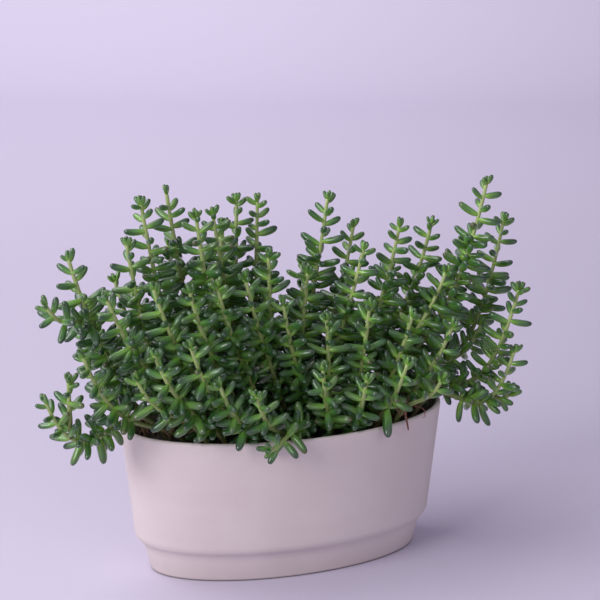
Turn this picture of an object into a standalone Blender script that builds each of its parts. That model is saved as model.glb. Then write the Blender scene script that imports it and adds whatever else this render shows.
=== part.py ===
"""A bush of white stonecrop in an oval unglazed planter.

The origin is the middle of the planter's underside. +X runs along the planter, to the right of
someone who stands before it, +Y runs away from them and +Z is up. Blender's units are metres.
"""

import bisect
import itertools
import math
import random
from typing import NamedTuple

import bmesh
import bpy
import numpy as np
from mathutils import Vector
from mathutils.geometry import interpolate_bezier

MM = 0.001
UP = Vector((0, 0, 1))
BACK = Vector((0, 1, 0))

# The planter, from the outline of its rim. An inset is how far a ring lies inside that outline.
RIM_HALF_LENGTH = 100 * MM
RIM_HALF_WIDTH = 56.5 * MM
POT_HEIGHT = 91 * MM
WALL = 3.2 * MM
LIP_RADIUS = WALL / 2
POT_SIDES = 44
BASE_INSET = 17.2 * MM
BASE_BEVEL = 1 * MM
FOOT_HEIGHT = 14 * MM
FOOT_TOP_INSET = 13 * MM
GROOVE_RISE = 1.6 * MM
SHOULDER_INSET = 7 * MM
SHOULDER_HEIGHT = 25 * MM
SHOULDER_RADIUS = 8 * MM
SHOULDER_DEGREES = (60, 30, 0)
FLOOR_HEIGHT = 7 * MM
FLOOR_INSET = 24 * MM
HEEL_INSET = 20 * MM
HEEL_HEIGHT = 9 * MM

# The soil fills the planter to a little below the rim. Each stem stands in a plain hole in it.
FIT_GAP = 0.3 * MM
SOIL_TOP = 79 * MM
HOLE_DEPTH = 6 * MM
HOLE_ROOM = 0.5 * MM

# A stem is four-sided. Its radius is to its corners, its rise and turn are shares of its lean.
STEM_RADIUS = 2.0 * MM
STEM_TIP_RADIUS = 1.2 * MM
STEM_SIDES = 4
SIDE_STEP = 360 / STEM_SIDES
LINE_POINTS = 48
STEM_STRETCHES = 14
ROOT_RISE = 0.12
TIP_TURN = 0.34

# Leaves stand in loose pairs below the crown of small ones at the tip, further apart at first.
CROWN_HEIGHT = 2.2 * MM
PAIR_START = 2.6 * MM
OPEN_STEP = 6.2 * MM
OPEN_REACH = 42 * MM
CLOSE_STEP = 4.4 * MM
PAIR_TURN = 77.0
PAIR_OFFSET = 0.8 * MM
BARE_SHARE = 0.12

# The solid stem carries the first pairs from its tip, and then one pair of every few. Where it
# carries nothing, it bends in steps of at most the bare step.
SOLID_FIRST = 2
SOLID_EVERY = 4
SOLID_SHIFT = 3
BARE_STEP = 18 * MM
LEVEL_HALF = 1.6 * MM
ROOT_ROOM = 3 * MM
FORK_ROOM = 4.5 * MM
BRANCH_START = 4.5 * MM
MERGE_DISTANCE = 0.001 * MM
LEAF_LENGTH = 16 * MM
LEAF_START = 14 * MM
LEAF_GROWTH = 21 * MM
LEAF_SLENDER = 0.2
LEAF_LEAST_WIDTH = 1.5 * MM
LEAF_DEPTH = 0.92
LEAF_CURL = 0.2
TILT_AT_TIP = 50.0
TILT_GAIN = 38.0
TILT_GROWTH = 9 * MM
BELLY_AT = 0.68
BELLY_SQUARE = 0.9
END_WIDTH = 0.6
BUD_LENGTH = 4.8 * MM
BUD_WIDTH = 3.8 * MM
BUD_ROOM = 0.6
BUD_SPAN = (0.4, 0.9)

# How far each leaf is drawn off its regular place.
TURN_DRAW = 14.0
OPPOSITE_DRAW = (158.0, 186.0)
PLACE_DRAW = 0.6 * MM
SIZE_DRAW = (0.86, 1.08)
TILT_DRAW = 12.0

# Leaves keep clear of one another. One that would cross another is tried again a little turned,
# tilted or shortened: degrees round the stem, degrees from it, and the share of its length.
LEAF_GAP = 0.35 * MM
LEAF_REACH = 1.2
LEAF_SPAN = (0.14, 0.5, 0.97)
LEAF_BEND = 0.75
TRIES = (
    (0, 0, 1.0),
    (16, 0, 1.0),
    (-16, 0, 1.0),
    (0, -14, 0.95),
    (26, -6, 0.9),
    (-26, -6, 0.9),
    (0, 12, 0.85),
    (10, -22, 0.8),
    (38, 0, 0.9),
    (-38, 0, 0.9),
    (0, -34, 0.85),
    (32, -24, 0.8),
    (-32, -24, 0.8),
    (0, 0, 0.68),
    (-20, -18, 0.62),
)
SEED = 41


class Tip(NamedTuple):
    """The top of a shoot, in mm: how its stem arches up at the root, turns up at the tip and is bare below."""

    x: float
    y: float
    z: float
    rise: float | None = None
    turn: float | None = None
    bare: float | None = None


class Row(NamedTuple):
    """A row of shoots along the planter: where its roots stand, in mm, and its tips from left to right."""

    name: str
    root_y: float
    root_reach: float
    tips: tuple


ROWS = (
    Row("front", -34, 55, (
        Tip(-104, -50, 138, rise=22, bare=42), Tip(-97, -62, 155), Tip(-78, -68, 160), Tip(-62, -70, 136),
        Tip(-42, -74, 129), Tip(-34, -74, 96, rise=26, turn=0), Tip(2, -62, 136), Tip(28, -64, 128),
        Tip(54, -62, 134, bare=25), Tip(80, -54, 120, rise=20, bare=32),
    )),
    Row("near", -18, 75, (
        Tip(-152, -32, 125, rise=52, turn=54, bare=49), Tip(-132, -40, 152, turn=40, bare=50),
        Tip(-118, -42, 184), Tip(-92, -46, 188), Tip(-72, -48, 185), Tip(-54, -42, 185),
        Tip(-34, -32, 186), Tip(-12, -34, 169), Tip(14, -36, 158), Tip(40, -38, 164),
        Tip(66, -40, 156), Tip(94, -36, 146, bare=22), Tip(141, -24, 122, rise=38, turn=58, bare=41),
    )),
    Row("middle", 0, 83, (
        Tip(-134, -22, 203, bare=32), Tip(-99, -16, 207, bare=26), Tip(-88, -8, 228), Tip(-70, 2, 231),
        Tip(-58, -16, 220), Tip(-43, 0, 217), Tip(-13, -12, 192), Tip(14, -4, 178),
        Tip(47, -10, 191), Tip(75, 2, 200, turn=30), Tip(102, -8, 172), Tip(130, -2, 223, turn=62),
        Tip(145, -20, 160, rise=30, turn=82), Tip(134, 10, 130, rise=30),
    )),
    Row("far", 18, 75, (
        Tip(-122, 22, 158, bare=24), Tip(-96, 24, 176), Tip(-64, 22, 196), Tip(-32, 16, 206),
        Tip(-20, 26, 218), Tip(-9, 20, 218), Tip(20, 14, 172), Tip(34, 16, 217),
        Tip(54, 24, 197), Tip(80, 26, 168), Tip(102, 16, 196, turn=34), Tip(132, 30, 180),
        Tip(151, 16, 195, turn=96),
    )),
    Row("back", 34, 55, (
        Tip(-104, 44, 142, rise=20), Tip(-80, 54, 160), Tip(-54, 62, 166), Tip(-26, 58, 176),
        Tip(4, 60, 152), Tip(34, 60, 166), Tip(66, 58, 158), Tip(104, 50, 150, rise=20),
    )),
)
# A side shoot leaves another at this share of its stem, counted from the root.
SIDE_SHOOTS = {
    ("near", 1): (0.74, Tip(-141, -42, 139)),
    ("near", 13): (0.64, Tip(145, -14, 93)),
    ("middle", 1): (0.66, Tip(-151, -38, 182)),
}


class Line:
    """A stem's centre line, measured along from its root."""

    def __init__(self, points):
        self.points = points
        steps = [(end - start).length for start, end in itertools.pairwise(points)]
        self.marks = [0.0, *itertools.accumulate(steps)]
        self.length = self.marks[-1]

    def at(self, distance):
        """The point that far from the root, and the way the stem runs there."""
        last = len(self.points) - 2
        i = min(max(bisect.bisect_right(self.marks, distance) - 1, 0), last)
        start, end = self.points[i], self.points[i + 1]
        share = (distance - self.marks[i]) / (self.marks[i + 1] - self.marks[i])
        return start.lerp(end, share), (end - start).normalized()


def frame_of(direction):
    """Two unit vectors square to a stem's direction, that turns round it are counted from."""
    first = direction.cross(BACK).normalized()
    return first, direction.cross(first)


def outward(direction, degrees):
    """A unit vector square to the stem's direction, so many degrees round it."""
    first, second = frame_of(direction)
    angle = math.radians(degrees)
    return first * math.cos(angle) + second * math.sin(angle)


def turn_of(direction, way):
    """How many degrees round the stem's direction a way points."""
    first, second = frame_of(direction)
    return math.degrees(math.atan2(way.dot(second), way.dot(first)))


class Leaf:
    """A leaf: its middle line runs out from the stem along aim and curls towards lift."""

    def __init__(self, root, direction, degrees, tilt, length, width):
        self.root = root
        side = outward(direction, degrees)
        angle = math.radians(tilt)
        self.aim = side * math.sin(angle) + direction * math.cos(angle)
        self.across = direction.cross(side).normalized()
        self.lift = self.aim.cross(self.across)
        self.degrees = degrees
        self.length = length
        self.width = width

    def at(self, share):
        """The point on the leaf's middle line at that share of its length."""
        along = self.length * share
        return self.root + self.aim * along + self.lift * (LEAF_CURL * along * share)


class Shoot:
    """A leafy stem: its line, its radius and its leaves in pairs from the tip down."""

    def __init__(self, line, seed, bare=None):
        self.line = line
        self.bare = line.length * BARE_SHARE if bare is None else bare * MM
        self.draw = random.Random(seed)
        self.first_turn = self.draw.uniform(0, 360)
        self.pairs = []
        self.branch = None

    def radius(self, distance):
        """Corner radius of the stem that far from its root."""
        left = 1 - distance / self.line.length
        return STEM_TIP_RADIUS + (STEM_RADIUS - STEM_TIP_RADIUS) * left

    def pair_places(self):
        """How far below the tip each pair stands."""
        places = [PAIR_START]
        while places[-1] < self.line.length - self.bare:
            places.append(places[-1] + (OPEN_STEP if places[-1] < OPEN_REACH else CLOSE_STEP))
        return places[:-1]


def planting(root_y, reach, number, count):
    """Where a row's shoot of that number leaves the soil."""
    share = number / (count - 1)
    return Vector((reach * (2 * share - 1) * MM, root_y * MM, SOIL_TOP))


def stem_line(root, tip):
    """The bent line of a stem from a root to the crown at its tip."""
    end = Vector((tip.x, tip.y, tip.z)) * MM - UP * CROWN_HEIGHT
    third = (end - root) / 3
    out = math.hypot(third.x, third.y) * 3
    rise = ROOT_RISE * out if tip.rise is None else tip.rise * MM
    turn = TIP_TURN * out if tip.turn is None else tip.turn * MM
    return Line(interpolate_bezier(root, root + third + UP * rise, end - third - UP * turn, end, LINE_POINTS))


def plant_shoots():
    """Every shoot by its node's name, with stems and no leaves yet."""
    shoots = {}
    for row in ROWS:
        for number, tip in enumerate(row.tips):
            root = planting(row.root_y, row.root_reach, number, len(row.tips))
            seed = SEED + 2 * len(shoots)
            shoot = Shoot(stem_line(root, tip), seed, tip.bare)
            side = SIDE_SHOOTS.get((row.name, number + 1))
            if side:
                share, side_tip = side
                shoot.branch_at = share * shoot.line.length
                fork, _ = shoot.line.at(shoot.branch_at)
                shoot.branch = Shoot(stem_line(fork, side_tip), seed + 1)
            shoots[f"{row.name}_shoot_{number + 1:02d}"] = shoot
    return shoots


class Thicket:
    """The stems and leaves placed so far, as thick segments, to keep new leaves clear of them."""

    def __init__(self):
        self.rows = []
        self.table = np.empty((0, 12))

    def add(self, start, half, end, radius, owner, is_stem=False):
        """Put in a segment. Leaves of the same shoot are tested against its outer half only."""
        self.rows.append([*start, *half, *end, radius, owner, is_stem])

    def settle(self):
        """Make what was put in count from here on."""
        if self.rows:
            self.table = np.vstack([self.table, self.rows])
        self.rows = []

    def has_room(self, start, half, end, radius, owner):
        """Whether a new leaf would be clear of all the others."""
        starts, halves, ends = self.table[:, 0:3], self.table[:, 3:6], self.table[:, 6:9]
        wanted = self.table[:, 9] + radius + LEAF_GAP
        own, is_stem = self.table[:, 10] == owner, self.table[:, 11] > 0
        whole = distances(start, end, starts, ends) > wanted
        outer = distances(half, end, halves, ends) > wanted
        return bool(np.where(own, outer | is_stem, whole).all())


def distances(start, end, starts, ends):
    """The least distance from one segment to each of many."""
    start, end = np.array(start), np.array(end)
    along, alongs, apart = end - start, ends - starts, start - starts
    a = along @ along
    e = np.maximum((alongs * alongs).sum(1), 1e-12)
    b, c, f = alongs @ along, apart @ along, (alongs * apart).sum(1)
    s = np.clip((b * f - c * e) / np.maximum(a * e - b * b, 1e-15), 0, 1)
    t = np.clip((b * s + f) / e, 0, 1)
    s = np.clip((b * t - c) / a, 0, 1)
    return np.linalg.norm(start + s[:, None] * along - starts - t[:, None] * alongs, axis=1)


def clear_of_pot(point, radius):
    """Whether a ball there touches neither the planter's wall nor the soil."""
    room = radius + LEAF_GAP
    if point.z > POT_HEIGHT + room:
        return True
    inside, outside = -WALL - SHOULDER_INSET * 0.25 - room, room
    within = math.hypot(point.x / (RIM_HALF_LENGTH + inside), point.y / (RIM_HALF_WIDTH + inside)) < 1
    beyond = math.hypot(point.x / (RIM_HALF_LENGTH + outside), point.y / (RIM_HALF_WIDTH + outside)) > 1
    return beyond or (within and point.z > SOIL_TOP + room)


def leaf_size(below):
    """Length, and tilt from the stem, of a leaf that far below its shoot's tip."""
    length = LEAF_LENGTH * (1 - math.exp(-(below + LEAF_START) / LEAF_GROWTH))
    tilt = TILT_AT_TIP + TILT_GAIN * (1 - math.exp(-below / TILT_GROWTH))
    return length, tilt


def try_leaf(thicket, shoot, owner, below, degrees, tilt, length):
    """The first of the tries that is clear of all else, or None."""
    point, direction = shoot.line.at(shoot.line.length - below)
    for turn, lean, share in TRIES:
        size = length * share
        width = LEAF_SLENDER * size + LEAF_LEAST_WIDTH
        leaf = Leaf(point, direction, degrees + turn, tilt + lean, size, width)
        reach = width / 2 * LEAF_REACH
        spots = tuple(leaf.at(share) for share in LEAF_SPAN)
        if not all(clear_of_pot(spot, reach) for spot in (*spots, leaf.at(LEAF_BEND))):
            continue
        if thicket.has_room(*spots, reach, owner):
            thicket.add(*spots, reach, owner)
            return leaf
    return None


def grow_leaves(shoots):
    """Give every shoot its leaves, the pairs at the tips first, so that those find room."""
    everyone = [(owner, shoot) for owner, shoot in enumerate(shoots.values())]
    everyone += [(owner, shoot.branch) for owner, shoot in everyone if shoot.branch]
    thicket = Thicket()
    for owner, shoot in everyone:
        marks = [shoot.line.length * n / STEM_STRETCHES for n in range(STEM_STRETCHES + 1)]
        for start, end in itertools.pairwise(marks):
            bottom, top = shoot.line.at(start)[0], shoot.line.at(end)[0]
            thicket.add(bottom, bottom, top, shoot.radius(start), owner, is_stem=True)
        end, direction = shoot.line.at(shoot.line.length)
        middle, top = (end + direction * BUD_LENGTH * share for share in BUD_SPAN)
        thicket.add(end, middle, top, BUD_WIDTH * BUD_ROOM, owner)
    thicket.settle()
    most = max(len(shoot.pair_places()) for _, shoot in everyone)
    for number, (owner, shoot) in itertools.product(range(most), everyone):
        places = shoot.pair_places()
        if number >= len(places):
            continue
        length, tilt = leaf_size(places[number])
        degrees = shoot.first_turn + PAIR_TURN * number + shoot.draw.uniform(-TURN_DRAW, TURN_DRAW)
        pair = []
        for opposite, step in ((0, -PAIR_OFFSET), (1, PAIR_OFFSET)):
            swing = degrees + opposite * shoot.draw.uniform(*OPPOSITE_DRAW)
            below = max(places[number] + step + shoot.draw.uniform(-PLACE_DRAW, PLACE_DRAW), 0)
            size = length * shoot.draw.uniform(*SIZE_DRAW)
            lean = tilt + shoot.draw.uniform(-TILT_DRAW, TILT_DRAW)
            pair.append(try_leaf(thicket, shoot, owner, below, swing, lean, size))
        thicket.settle()
        shoot.pairs.append((places[number], degrees, [leaf for leaf in pair if leaf]))


def start_cap(bm, corners):
    """The flat end that a sweep starts from."""
    circle = bmesh.ops.create_circle(bm, cap_ends=True, segments=len(corners), radius=1)
    for vert, place in zip(circle["verts"], corners, strict=True):
        vert.co = place
    return circle["verts"][0].link_faces[0]


def push(bm, face, corners):
    """Extrude a face to where its corners are wanted, and return the new face."""
    made = bmesh.ops.extrude_discrete_faces(bm, faces=[face])["faces"][0]
    for vert, place in zip(made.verts, corners, strict=True):
        vert.co = place
    return made


def finish_mesh(bm, name, material, origin=(0, 0, 0)):
    """Close the end that the sweep started from, and make the object with its origin there."""
    bmesh.ops.remove_doubles(bm, verts=bm.verts, dist=MERGE_DISTANCE)
    bmesh.ops.holes_fill(bm, edges=[edge for edge in bm.edges if edge.is_boundary])
    bmesh.ops.recalc_face_normals(bm, faces=bm.faces)
    bmesh.ops.translate(bm, verts=bm.verts, vec=-Vector(origin))
    mesh = bpy.data.meshes.new(name)
    bm.to_mesh(mesh)
    bm.free()
    mesh.materials.append(material)
    obj = bpy.data.objects.new(name, mesh)
    obj.location = origin
    return obj


def oval(inset, height):
    """A ring of the planter's plan, drawn in from the rim's outline."""
    angles = (math.tau * n / POT_SIDES for n in range(POT_SIDES))
    length, width = RIM_HALF_LENGTH - inset, RIM_HALF_WIDTH - inset
    return [Vector((length * math.cos(a), width * math.sin(a), height)) for a in angles]


def sweep_oval(name, profile, material):
    """A round piece with one ring for each inset and height of its profile."""
    bm = bmesh.new()
    cap = start_cap(bm, oval(*profile[0]))
    for inset, height in profile[1:]:
        cap = push(bm, cap, oval(inset, height))
    return finish_mesh(bm, name, material)


def build_pot(material):
    """The planter: a flat base, a flared foot, a groove, a round shoulder and a thin round lip."""
    shoulder = [
        (
            SHOULDER_INSET + SHOULDER_RADIUS * (1 - math.cos(math.radians(degrees))),
            SHOULDER_HEIGHT - SHOULDER_RADIUS * math.sin(math.radians(degrees)),
        )
        for degrees in SHOULDER_DEGREES
    ]
    profile = [
        (BASE_INSET, 0),
        (BASE_INSET - BASE_BEVEL, BASE_BEVEL),
        (FOOT_TOP_INSET, FOOT_HEIGHT),
        (FOOT_TOP_INSET - GROOVE_RISE / 2, FOOT_HEIGHT + GROOVE_RISE),
        *shoulder,
        (0, POT_HEIGHT - LIP_RADIUS),
        (LIP_RADIUS, POT_HEIGHT),
        (WALL, POT_HEIGHT - LIP_RADIUS),
        (SHOULDER_INSET + WALL, SHOULDER_HEIGHT),
        (HEEL_INSET, HEEL_HEIGHT),
        (FLOOR_INSET, FLOOR_HEIGHT),
    ]
    return sweep_oval("pot", profile, material)


def square(point, direction, radius, degrees):
    """The corners of a stem's section, its first side facing so many degrees round the stem."""
    turns = (degrees + SIDE_STEP * (corner - 0.5) for corner in range(STEM_SIDES))
    return [point + outward(direction, turn) * radius for turn in turns]


def swell(bm, face, leaf, share, half_width, half_depth):
    """Push a face out along a leaf, to the leaf's size at that share of its length."""
    middle = face.calc_center_median()
    made = bmesh.ops.extrude_discrete_faces(bm, faces=[face])["faces"][0]
    for vert in made.verts:
        off = vert.co - middle
        sideways = leaf.across * math.copysign(half_width, off.dot(leaf.across))
        upwards = leaf.lift * math.copysign(half_depth, off.dot(leaf.lift))
        vert.co = leaf.at(share) + sideways + upwards
    return made


def grow_leaf(bm, face, leaf):
    """Raise a leaf from a side of its stem: a neck that swells to a belly and ends in an edge."""
    half = leaf.width / 2
    belly = swell(bm, face, leaf, BELLY_AT, half * BELLY_SQUARE, half * BELLY_SQUARE * LEAF_DEPTH)
    swell(bm, belly, leaf, 1, half * END_WIDTH, 0)


def nearest_turn(degrees, near):
    """The same square section's turn, brought within half a side of another's."""
    return near + (degrees - near + SIDE_STEP / 2) % SIDE_STEP - SIDE_STEP / 2


def side_of(degrees, turn):
    """Which side of a square section faces so many degrees round the stem."""
    return round((degrees - turn) / SIDE_STEP) % STEM_SIDES


def solid_levels(shoot):
    """What the solid stem carries, from the root up: each one's distance, its turn and the thing itself."""
    levels = []
    for number, (below, degrees, leaves) in enumerate(shoot.pairs):
        middle = shoot.line.length - below
        fork_near = shoot.branch and abs(middle - shoot.branch_at) < FORK_ROOM
        chosen = number < SOLID_FIRST or number % SOLID_EVERY == SOLID_SHIFT
        if leaves and chosen and middle > ROOT_ROOM and not fork_near:
            levels.append((middle, degrees, leaves))
    if shoot.branch:
        point, direction = shoot.line.at(shoot.branch_at)
        away = shoot.branch.line.at(BRANCH_START)[0] - point
        levels.append((shoot.branch_at, turn_of(direction, away), shoot.branch))
    return sorted(levels, key=lambda level: level[0])


def grow_branch(bm, wall, branch):
    """Start a side shoot from a side of its stem."""
    point, direction = branch.line.at(BRANCH_START)
    cap = bmesh.ops.extrude_discrete_faces(bm, faces=[wall])["faces"][0]
    middle = cap.calc_center_median()
    turns = [turn_of(direction, vert.co - middle) for vert in cap.verts]
    turn = turns[0] + SIDE_STEP / 2
    for vert, way in zip(cap.verts, turns, strict=True):
        corner = round((way - turn) / SIDE_STEP - 0.5) + 0.5
        vert.co = point + outward(direction, turn + SIDE_STEP * corner) * branch.radius(0)
    sweep_shoot(bm, cap, branch, turn, BRANCH_START)


def sweep_shoot(bm, cap, shoot, turn, start):
    """Sweep a stem from a cap up to its tip and raise its leaves and side shoot on the way."""
    line = shoot.line
    for middle, degrees, carried in solid_levels(shoot):
        turn = nearest_turn(degrees, turn)
        stretch = middle - LEVEL_HALF - start
        steps = max(math.ceil(stretch / BARE_STEP), 1)
        places = [start + stretch * step / steps for step in range(1, steps + 1)]
        for place in (*places, middle + LEVEL_HALF):
            point, direction = line.at(place)
            cap = push(bm, cap, square(point, direction, shoot.radius(place), turn))
        start = middle + LEVEL_HALF
        walls = [next(face for face in loop.edge.link_faces if face is not cap) for loop in cap.loops]
        if isinstance(carried, Shoot):
            grow_branch(bm, walls[side_of(degrees, turn)], carried)
            continue
        for leaf in carried:
            grow_leaf(bm, walls[side_of(leaf.degrees, turn)], leaf)
    end, direction = line.at(line.length)
    grow_leaf(bm, cap, Leaf(end, direction, turn, 0, BUD_LENGTH, BUD_WIDTH))


def build_shoot(name, shoot, material):
    """A leafy stem, from the bottom of its hole in the soil to its tip."""
    bm = bmesh.new()
    foot = shoot.line.points[0]
    levels = solid_levels(shoot)
    turn = levels[0][1] if levels else 0
    cap = start_cap(bm, square(foot - UP * (HOLE_DEPTH - FIT_GAP), UP, STEM_RADIUS, turn))
    cap = push(bm, cap, square(foot + UP * FIT_GAP, UP, STEM_RADIUS, turn))
    sweep_shoot(bm, cap, shoot, turn, 0)
    return finish_mesh(bm, name, material, foot)


def build_soil(shoots, material):
    """The soil, a plug that fills the planter, and the cutter for the stems' plain square holes."""
    fall = SHOULDER_INSET * (POT_HEIGHT - SOIL_TOP) / (POT_HEIGHT - SHOULDER_HEIGHT)
    profile = [
        (FLOOR_INSET + FIT_GAP, FLOOR_HEIGHT + FIT_GAP),
        (HEEL_INSET + FIT_GAP, HEEL_HEIGHT + FIT_GAP),
        (SHOULDER_INSET + WALL + FIT_GAP, SHOULDER_HEIGHT + FIT_GAP),
        (WALL + fall + FIT_GAP, SOIL_TOP),
    ]
    soil = sweep_oval("soil", profile, material)
    bm = bmesh.new()
    for shoot in shoots.values():
        foot = shoot.line.points[0]
        levels = solid_levels(shoot)
        turn = levels[0][1] if levels else 0
        radius = STEM_RADIUS + HOLE_ROOM
        cap = start_cap(bm, square(foot - UP * HOLE_DEPTH, UP, radius, turn))
        push(bm, cap, square(foot + UP * HOLE_DEPTH, UP, radius, turn))
    cutter = finish_mesh(bm, "stem_holes", material)
    cutter.hide_render = True
    cutter.display_type = "WIRE"
    cut = soil.modifiers.new("stem_holes", "BOOLEAN")
    cut.operation = "DIFFERENCE"
    cut.object = cutter
    return soil, cutter


def make_material(name, colour, roughness):
    """A plain Principled material."""
    material = bpy.data.materials.new(name)
    material.use_nodes = True
    shader = material.node_tree.nodes["Principled BSDF"]
    shader.inputs["Base Color"].default_value = (*colour, 1)
    shader.inputs["Roughness"].default_value = roughness
    material.diffuse_color = (*colour, 1)
    return material


def main():
    for obj in list(bpy.data.objects):
        bpy.data.objects.remove(obj, do_unlink=True)
    parts = bpy.data.collections.new("potted_stonecrop")
    cutters = bpy.data.collections.new("cutters")
    for collection in (parts, cutters):
        bpy.context.scene.collection.children.link(collection)
    bisque = make_material("bisque", (0.62, 0.53, 0.50), 0.85)
    earth = make_material("earth", (0.035, 0.026, 0.02), 0.95)
    leaf_green = make_material("leaf_green", (0.045, 0.13, 0.035), 0.42)

    shoots = plant_shoots()
    grow_leaves(shoots)
    pot = build_pot(bisque)
    parts.objects.link(pot)
    soil, cutter = build_soil(shoots, earth)
    stems = [build_shoot(name, shoot, leaf_green) for name, shoot in shoots.items()]
    cutters.objects.link(cutter)
    for piece in (soil, *stems):
        parts.objects.link(piece)
        piece.parent = pot


if __name__ == "__main__":
    main()
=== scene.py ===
"""The finished look of a bush of white stonecrop in an oval unglazed planter.

Lengths are in metres unless a name or a comment says otherwise. The origin is the middle of the
planter's underside, +X runs along the planter, +Y away from the viewer's side and +Z is up.
"""

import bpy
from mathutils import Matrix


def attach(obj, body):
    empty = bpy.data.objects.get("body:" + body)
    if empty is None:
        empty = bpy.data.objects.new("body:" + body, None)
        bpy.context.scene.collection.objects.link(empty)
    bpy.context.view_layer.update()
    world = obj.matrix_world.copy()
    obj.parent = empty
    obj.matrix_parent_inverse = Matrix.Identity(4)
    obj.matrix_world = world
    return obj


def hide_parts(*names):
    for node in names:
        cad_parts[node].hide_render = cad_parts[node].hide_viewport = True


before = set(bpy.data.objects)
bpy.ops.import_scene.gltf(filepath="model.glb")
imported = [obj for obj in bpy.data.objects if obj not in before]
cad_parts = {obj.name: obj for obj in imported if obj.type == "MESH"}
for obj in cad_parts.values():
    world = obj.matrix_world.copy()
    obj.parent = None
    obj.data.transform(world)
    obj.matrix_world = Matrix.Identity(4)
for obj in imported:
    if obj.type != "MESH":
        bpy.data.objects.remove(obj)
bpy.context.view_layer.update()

import bisect
import itertools
import logging
import math
import random
from collections.abc import Sequence
from dataclasses import dataclass, field
from enum import Enum
from typing import NamedTuple

import bpy
import numpy as np
from bpy.types import ID, ColorRamp, Material, NodeSocket, Object
from mathutils import Vector, noise
from mathutils.geometry import interpolate_bezier

log = logging.getLogger("stonecrop")

MM = 0.001
UP = Vector((0, 0, 1))
BACK = Vector((0, 1, 0))
Pair = tuple[float, float]
Triple = tuple[float, float, float]
Colour = Triple


class Blend(Enum):
    """How one colour is laid over another."""

    MIX = "MIX"
    MULTIPLY = "MULTIPLY"


class Value:
    """A socket of a shader that takes arithmetic."""

    def __init__(self, book: "Shader", socket: NodeSocket) -> None:
        """Keep the socket and the shader that it belongs to."""
        self.book = book
        self.socket = socket

    def _reckon(self, operation: str, first: "Value | float", second: "Value | float") -> "Value":
        """Self and another number through a Math node."""
        return self.book.add("Math", {"operation": operation}, {0: first, 1: second})

    def __add__(self, other: "Value | float") -> "Value":
        """Self plus other."""
        return self._reckon("ADD", self, other)

    def __radd__(self, other: float) -> "Value":
        """Other plus self."""
        return self._reckon("ADD", other, self)

    def __sub__(self, other: "Value | float") -> "Value":
        """Self less other."""
        return self._reckon("SUBTRACT", self, other)

    def __rsub__(self, other: float) -> "Value":
        """Other less self."""
        return self._reckon("SUBTRACT", other, self)

    def __mul__(self, other: "Value | float") -> "Value":
        """Self times other."""
        return self._reckon("MULTIPLY", self, other)

    def __rmul__(self, other: float) -> "Value":
        """Other times self."""
        return self._reckon("MULTIPLY", other, self)

    def between(self, low: float, high: float) -> "Value":
        """A smooth mask that is 0 where self is at low and 1 where it is at high."""
        settings = {"interpolation_type": "SMOOTHSTEP"}
        return self.book.add("MapRange", settings, {"Value": self, "From Min": low, "From Max": high})


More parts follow.
